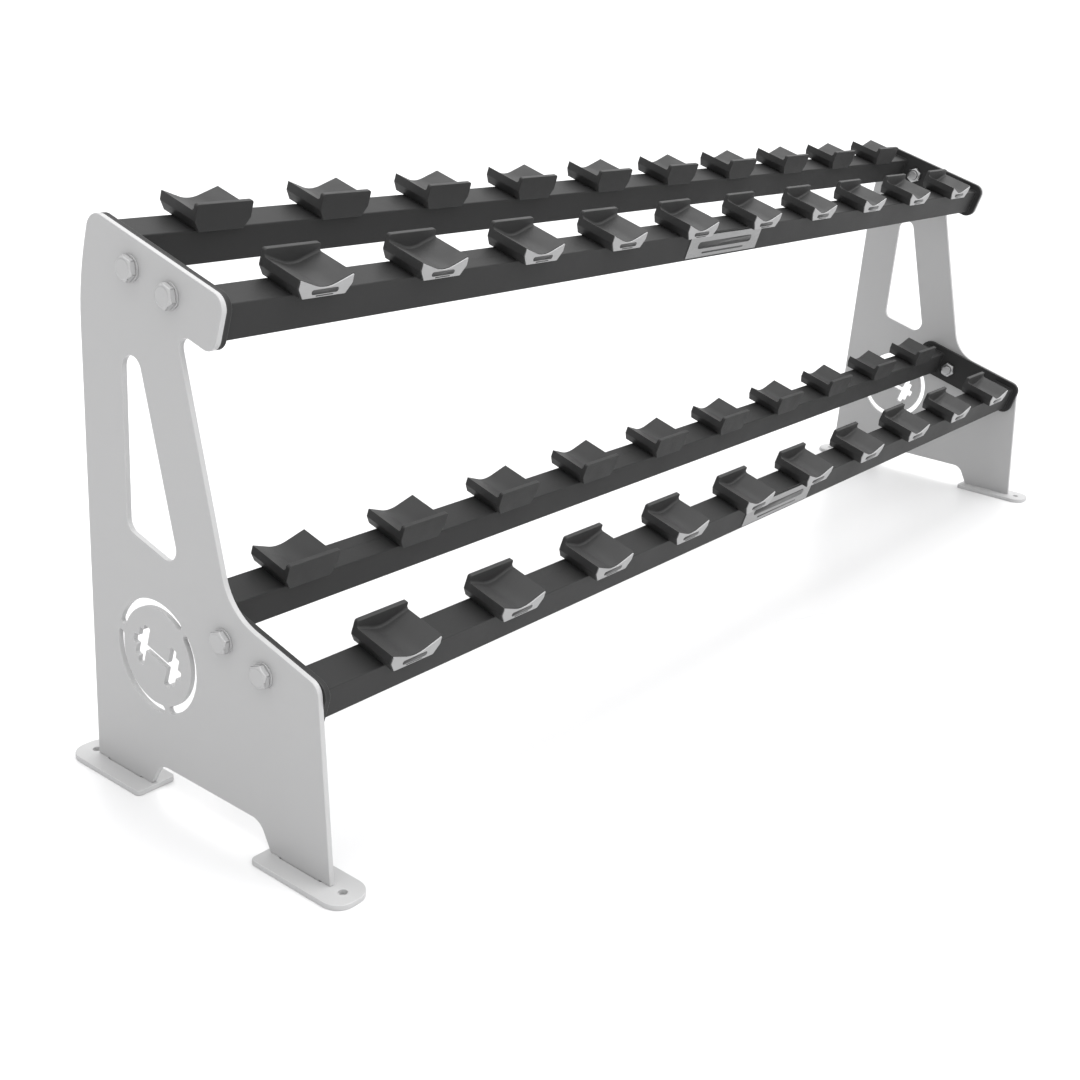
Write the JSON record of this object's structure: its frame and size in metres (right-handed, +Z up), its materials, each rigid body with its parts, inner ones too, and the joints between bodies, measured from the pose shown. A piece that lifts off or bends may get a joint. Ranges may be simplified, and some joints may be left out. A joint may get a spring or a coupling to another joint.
{
  "type": "dumbbell rack",
  "caption": "Two-tier dumbbell rack: sloping shelves of twin steel tubes carrying moulded saddles, bolted between cut-out plate side frames on flat anchor feet.",
  "frame": {"origin": "on the floor under the middle of the rack's footprint", "axes": "+X along the rack's length, the front faces -Y, +Z up"},
  "size_m": [2.357, 0.553, 0.8024],
  "materials": {
    "panel_grey": "light grey powder coat, satin",
    "shelf_charcoal": "charcoal powder coat, fine texture",
    "saddle_black": "moulded, faintly grained",
    "badge_metal": "fine brushed",
    "nameplate_metal": "fine brushed",
    "zinc_hardware": "zinc plated",
    "screw_black": "black oxide"
  },
  "bodies": {
    "root": {"side_panel_left": "panel_grey", "foot_plate_left_rear": "panel_grey", "foot_plate_left_front": "panel_grey", "upper_flange_left": "shelf_charcoal", "lower_flange_left": "shelf_charcoal", "side_panel_right": "panel_grey", "foot_plate_right_rear": "panel_grey", "foot_plate_right_front": "panel_grey", "upper_flange_right": "shelf_charcoal", "lower_flange_right": "shelf_charcoal", "upper_rail_rear": "shelf_charcoal", "upper_rear_saddle_01": "saddle_black", "upper_rear_saddle_02": "saddle_black", "upper_rear_saddle_03": "saddle_black", "upper_rear_saddle_04": "saddle_black", "upper_rear_saddle_05": "saddle_black", "upper_rear_saddle_06": "saddle_black", "upper_rear_saddle_07": "saddle_black", "upper_rear_saddle_08": "saddle_black", "upper_rear_saddle_09": "saddle_black", "upper_rear_saddle_10": "saddle_black", "upper_rail_front": "shelf_charcoal", "upper_front_saddle_01": "saddle_black", "upper_front_saddle_02": "saddle_black", "upper_front_saddle_03": "saddle_black", "upper_front_saddle_04": "saddle_black", "upper_front_saddle_05": "saddle_black", "upper_front_saddle_06": "saddle_black", "upper_front_saddle_07": "saddle_black", "upper_front_saddle_08": "saddle_black", "upper_front_saddle_09": "saddle_black", "upper_front_saddle_10": "saddle_black", "lower_rail_rear": "shelf_charcoal", "lower_rear_saddle_01": "saddle_black", "lower_rear_saddle_02": "saddle_black", "lower_rear_saddle_03": "saddle_black", "lower_rear_saddle_04": "saddle_black", "lower_rear_saddle_05": "saddle_black", "lower_rear_saddle_06": "saddle_black", "lower_rear_saddle_07": "saddle_black", "lower_rear_saddle_08": "saddle_black", "lower_rear_saddle_09": "saddle_black", "lower_rear_saddle_10": "saddle_black", "lower_rail_front": "shelf_charcoal", "lower_front_saddle_01": "saddle_black", "lower_front_saddle_02": "saddle_black", "lower_front_saddle_03": "saddle_black", "lower_front_saddle_04": "saddle_black", "lower_front_saddle_05": "saddle_black", "lower_front_saddle_06": "saddle_black", "lower_front_saddle_07": "saddle_black", "lower_front_saddle_08": "saddle_black", "lower_front_saddle_09": "saddle_black", "lower_front_saddle_10": "saddle_black", "saddle_badges": "badge_metal", "rail_nameplates": "nameplate_metal", "frame_bolts": "zinc_hardware", "frame_washers": "zinc_hardware", "frame_nuts": "zinc_hardware", "saddle_screws": "screw_black"}
  },
  "joints": []
}
